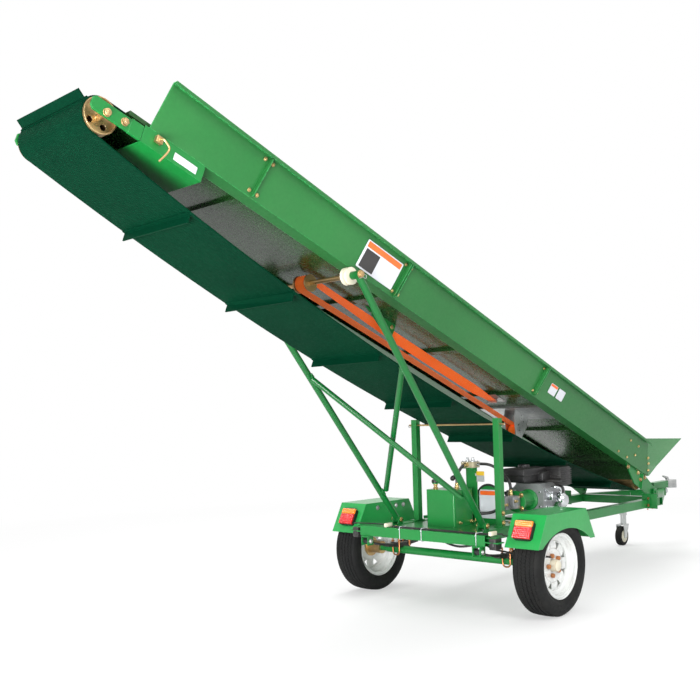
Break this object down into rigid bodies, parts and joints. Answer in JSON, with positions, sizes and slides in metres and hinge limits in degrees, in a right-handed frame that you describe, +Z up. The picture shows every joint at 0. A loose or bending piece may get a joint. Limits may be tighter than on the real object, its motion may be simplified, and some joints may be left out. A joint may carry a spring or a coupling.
{
  "type": "firewood conveyor",
  "caption": "Towed inclined belt conveyor for firewood: flared trough with cleated belt, strap-lifted legs, two-wheeled chassis, drawbar, jack wheel, engine and hydraulics.",
  "frame": {"origin": "middle of the machine's box, on the ground under the tyres", "axes": "+X forward to the tow coupler, +Y left, +Z up"},
  "size_m": [5.9274, 1.52, 2.5051],
  "materials": {
    "machine_green": "satin",
    "trough_green": "satin",
    "under_green": "matte",
    "rim_white": "gloss",
    "spring_black": "satin",
    "zinc": "satin",
    "zinc_yellow": "satin",
    "tyre_black": "matte",
    "belt_green": "matte",
    "nylon": "matte",
    "lamp_red": "gloss",
    "engine_grey": "satin",
    "cover_black": "satin",
    "valve_beige": "satin",
    "pump_grey": "satin",
    "strap_orange": "matte",
    "hose_black": "matte",
    "grey_plastic": "matte"
  },
  "bodies": {
    "chassis": {"air_cleaner": "cover_black", "axle_beam": "machine_green", "control_valve": "valve_beige", "deck_plate": "machine_green", "document_tube": "grey_plastic", "drawbar_arms": "machine_green", "engine_bed": "machine_green", "engine_block": "engine_grey", "fender_left": "machine_green", "fender_right": "machine_green", "frame_rails": "machine_green", "front_crossbar": "machine_green", "fuel_tank": "cover_black", "hinge_crossbar": "machine_green", "hydraulic_hoses": "hose_black", "hydraulic_pump": "pump_grey", "hydraulic_tank": "machine_green", "jack_tube": "zinc", "leaf_springs": "spring_black", "leg_feet": "machine_green", "muffler": "engine_grey", "nose_tube": "machine_green", "rear_crossbar": "machine_green", "recoil_cover": "cover_black", "rest_posts": "machine_green", "rest_rod": "zinc", "sign_guard": "machine_green", "spring_hangers": "machine_green", "tail_lights": "lamp_red", "tow_coupler": "zinc"},
    "wheel_left": {"tyre_left": "tyre_black", "rim_left": "rim_white", "hub_left": "zinc_yellow"},
    "wheel_right": {"tyre_right": "tyre_black", "rim_right": "rim_white", "hub_right": "zinc_yellow"},
    "jack_fork": {"jack_fork": "zinc"},
    "jack_wheel": {"jack_wheel": "tyre_black"},
    "trough": {"side_panel_left": "trough_green", "side_panel_right": "trough_green", "bed_pan": "under_green", "side_ribs": "trough_green", "cross_members": "under_green", "loading_lip": "trough_green", "hinge_ears": "machine_green", "take_up_box": "machine_green", "bearing_arms": "machine_green", "head_drum": "zinc", "tail_drum": "zinc_yellow", "belt_carry": "belt_green", "belt_return": "belt_green", "strap_winch": "zinc", "stop_plate": "machine_green", "lift_strap": "strap_orange", "strap_hook": "zinc"},
    "legs": {"lift_leg_left": "machine_green", "lift_leg_right": "machine_green", "leg_braces": "machine_green", "roller_shaft": "zinc", "leg_rollers": "nylon"}
  },
  "joints": [
    {"name": "wheel_left_spin", "type": "hinge", "parent": "chassis", "child": "wheel_left", "pos_m": [-0.2983, 0.663, 0.28], "axis": [0, 1, 0], "continuous": true},
    {"name": "wheel_right_spin", "type": "hinge", "parent": "chassis", "child": "wheel_right", "pos_m": [-0.2983, -0.663, 0.28], "axis": [0, 1, 0], "continuous": true},
    {"name": "jack_swivel", "type": "hinge", "parent": "chassis", "child": "jack_fork", "pos_m": [2.4017, 0.205, 0.2], "axis": [0, 0, 1], "continuous": true},
    {"name": "jack_wheel_spin", "type": "hinge", "parent": "jack_fork", "child": "jack_wheel", "pos_m": [2.3617, 0.205, 0.08], "axis": [0, 1, 0], "continuous": true},
    {"name": "trough_tilt", "type": "hinge", "parent": "chassis", "child": "trough", "pos_m": [1.9017, 0, 0.502], "axis": [0, 1, 0], "range_deg": [-6.5, 8.3], "deforming": ["belt_return", "lift_strap"]},
    {"name": "legs_swing", "type": "hinge", "parent": "chassis", "child": "legs", "pos_m": [-0.4413, 0, 0.492], "axis": [0, 1, 0], "range_deg": [-16.19, 20.64]}
  ],
  "couplings": [
    {"joint": "legs_swing", "follows": "trough_tilt", "ratio": 2.4753}
  ]
}
